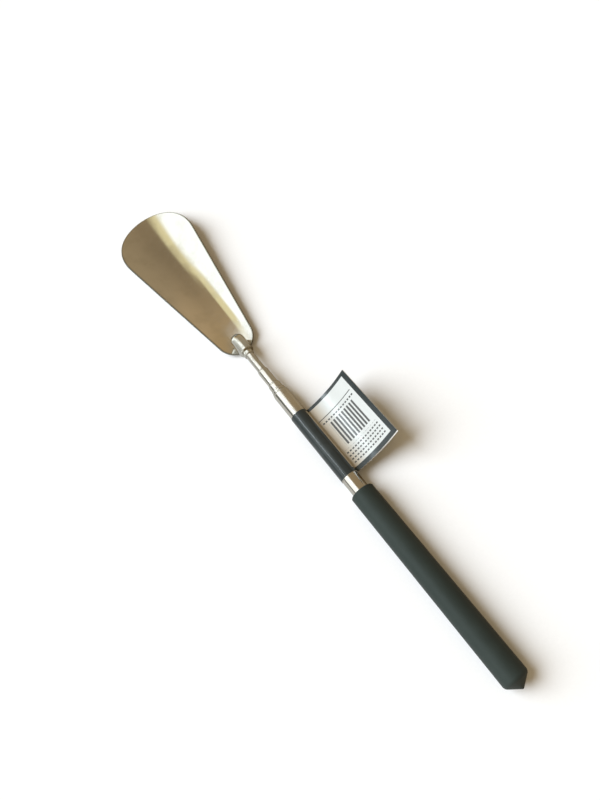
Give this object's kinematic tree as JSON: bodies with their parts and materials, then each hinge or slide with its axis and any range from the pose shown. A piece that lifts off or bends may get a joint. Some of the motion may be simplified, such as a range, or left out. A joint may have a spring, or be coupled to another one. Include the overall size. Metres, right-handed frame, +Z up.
{
  "type": "telescopic shoehorn",
  "caption": "Long shoehorn with a pull-out tube handle: rubber grip, nested sliding steel tubes, round-nosed socket and a flared trough-shaped steel blade.",
  "frame": {"origin": "on the rod's axis, in the middle of the rubber grip's straight barrel", "axes": "+X along the rod from grip to blade, +Z up out of the blade's hollow, +Y to the left seen from the grip; the part lies on its back on a surface at z = -5.6 mm"},
  "size_m": [0.3128, 0.05, 0.0158],
  "materials": {
    "grip_rubber": "matte, faintly grained",
    "polished_steel": "bright polished stainless steel",
    "blade_steel": "polished pressed stainless steel sheet",
    "plug_plastic": "matte",
    "bush_brass": "turned",
    "spring_bronze": "rolled bronze strip",
    "core_steel": "cut wire",
    "braze_metal": "satin filler metal",
    "tag_paper": "glossy printed paper, black with a white panel"
  },
  "bodies": {
    "handle": {"grip_sleeve": "grip_rubber", "outer_tube": "polished_steel", "butt_plug": "plug_plastic", "paper_tag": "tag_paper"},
    "stage_2": {"second_tube": "polished_steel", "second_bush": "bush_brass", "second_spring": "spring_bronze"},
    "stage_3": {"third_tube": "polished_steel", "third_bush": "bush_brass", "third_spring": "spring_bronze"},
    "stage_4": {"fourth_tube": "polished_steel", "fourth_bush": "bush_brass", "fourth_spring": "spring_bronze"},
    "inner_carrier": {"inner_spring": "spring_bronze"},
    "blade_stage": {"inner_tube": "polished_steel", "inner_bush": "bush_brass", "crimp_core": "core_steel", "blade_socket": "polished_steel", "blade": "blade_steel", "braze_pad": "braze_metal"}
  },
  "joints": [
    {"name": "second_slide", "type": "slide", "parent": "handle", "child": "stage_2", "axis": [1, 0, 0], "range_m": [0, 0.1227]},
    {"name": "third_slide", "type": "slide", "parent": "stage_2", "child": "stage_3", "axis": [1, 0, 0], "range_m": [0, 0.1202]},
    {"name": "fourth_slide", "type": "slide", "parent": "stage_3", "child": "stage_4", "axis": [1, 0, 0], "range_m": [0, 0.1195]},
    {"name": "inner_slide", "type": "slide", "parent": "stage_4", "child": "inner_carrier", "axis": [1, 0, 0], "range_m": [0, 0.1253]},
    {"name": "blade_twist", "type": "hinge", "parent": "inner_carrier", "child": "blade_stage", "pos_m": [0.12, 0, 0], "axis": [1, 0, 0], "continuous": true}
  ]
}
